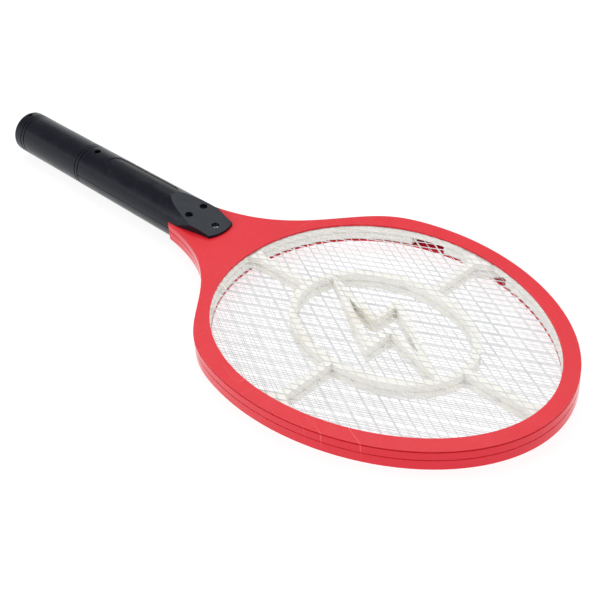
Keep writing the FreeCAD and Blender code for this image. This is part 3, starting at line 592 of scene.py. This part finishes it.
def spacer_bond():
    """Thin ivory band that fills the gap between the two spacers, round the strands of the centre mesh."""
    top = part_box("lower_spacer")[1][2]
    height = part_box("upper_spacer")[0][2] - top
    bm = bmesh.new()
    bm.from_mesh(nodes["lower_spacer"].data)
    bmesh.ops.remove_doubles(bm, verts=bm.verts, dist=WELD_DISTANCE)
    others = [face for face in bm.faces if any(abs(vert.co.z - top) > LEVEL_TOLERANCE for vert in face.verts)]
    bmesh.ops.delete(bm, geom=others, context="FACES")
    border = bmesh.ops.inset_region(bm, faces=bm.faces[:], thickness=BOND_INSET, use_boundary=True)
    bmesh.ops.delete(bm, geom=border["faces"], context="FACES")
    raised = bmesh.ops.extrude_face_region(bm, geom=bm.faces[:])
    for item in raised["geom"]:
        if isinstance(item, bmesh.types.BMVert):
            item.co.z += height
    bmesh.ops.recalc_face_normals(bm, faces=bm.faces)
    bond = finish_mesh("spacer_bond", bm, bpy.data.materials["spacer_ivory"])
    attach(bond, "handle_and_head")


def button_coil():
    """The spring under the push button, as an object of its own with its own copy of the CAD mesh, on the
    handle and head.
    """
    coil = place_object("button_coil", nodes["button_spring"].data.copy())
    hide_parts("button_spring")
    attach(coil, "handle_and_head")
    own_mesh(coil)


# ---------------------------------------------------------------- stage, light and camera

def floor_ring(bm, step):
    """One circle of the floor: step 0 is on the ground, and the last one is the upper rim."""
    angle = math.radians(90.0) * step / FLOOR_STEPS
    radius = FLOOR_FLAT + FLOOR_RISE * math.sin(angle)
    height = FLOOR_RISE * (1.0 - math.cos(angle))
    turns = [math.tau * side / FLOOR_SIDES for side in range(FLOOR_SIDES)]
    return [bm.verts.new((radius * math.cos(turn), radius * math.sin(turn), height)) for turn in turns]


def build_stage():
    """Pale seamless floor that curves up all round, far from the object, so that no horizon shows."""
    bm = bmesh.new()
    rings = [floor_ring(bm, step) for step in range(FLOOR_STEPS + 1)]
    bm.faces.new(rings[0])
    for inner, outer in zip(rings, rings[1:]):
        for i in range(FLOOR_SIDES):
            j = (i + 1) % FLOOR_SIDES
            face = bm.faces.new((inner[i], outer[i], outer[j], inner[j]))
            face.smooth = True
    floor = finish_mesh("floor", bm, floor_white())
    floor.location = (0.0, 0.0, cad_box[0][2] - FLOOR_GAP)


def add_softbox(name, place, aim, size, watts):
    """A rectangular lamp at a place, turned to a point."""
    light = bpy.data.lights.new(name, "AREA")
    light.shape = "RECTANGLE"
    light.size, light.size_y = size
    light.energy = watts
    light.color = LAMP_COLOUR
    lamp = place_object(name, light)
    lamp.location = place
    lamp.rotation_euler = (Vector(place) - Vector(aim)).to_track_quat("Z", "Y").to_euler()


def build_lights():
    """Even white sky and three large soft lamps."""
    world = bpy.data.worlds.new("studio")
    world.use_nodes = True
    sky = world.node_tree.nodes["Background"]
    set_inputs(world.node_tree, sky, Color=(*WHITE, 1.0), Strength=SKY_STRENGTH)
    bpy.context.scene.world = world
    add_softbox("overhead", place=(-0.35, 0.45, 1.1), aim=(-0.20, 0.15, 0.0), size=(1.2, 1.1), watts=8.6)
    add_softbox("fill", place=(-0.5, -1.2, 0.9), aim=(0.05, 0.0, 0.0), size=(1.2, 1.2), watts=11.0)
    add_softbox("side", place=(1.3, 0.2, 0.75), aim=(0.10, 0.0, 0.0), size=(1.0, 1.0), watts=5.0)


def build_camera():
    """Camera that looks at its aim, rolled a little about its own axis."""
    data = bpy.data.cameras.new("camera")
    data.lens = CAMERA_LENS
    data.sensor_width = CAMERA_SENSOR
    data.clip_start = CAMERA_NEAR
    camera = place_object("camera", data)
    camera.location = CAMERA_AT
    facing = (CAMERA_AT - CAMERA_AIM).to_track_quat("Z", "Y")
    camera.rotation_mode = "QUATERNION"
    camera.rotation_quaternion = facing @ Quaternion((0.0, 0.0, 1.0), CAMERA_ROLL)
    bpy.context.scene.camera = camera


# ---------------------------------------------------------------- build

paint_nodes()
build_nets()
spacer_bond()
button_coil()
build_stage()
build_lights()
build_camera()
bpy.context.scene.view_settings.view_transform = "Standard"
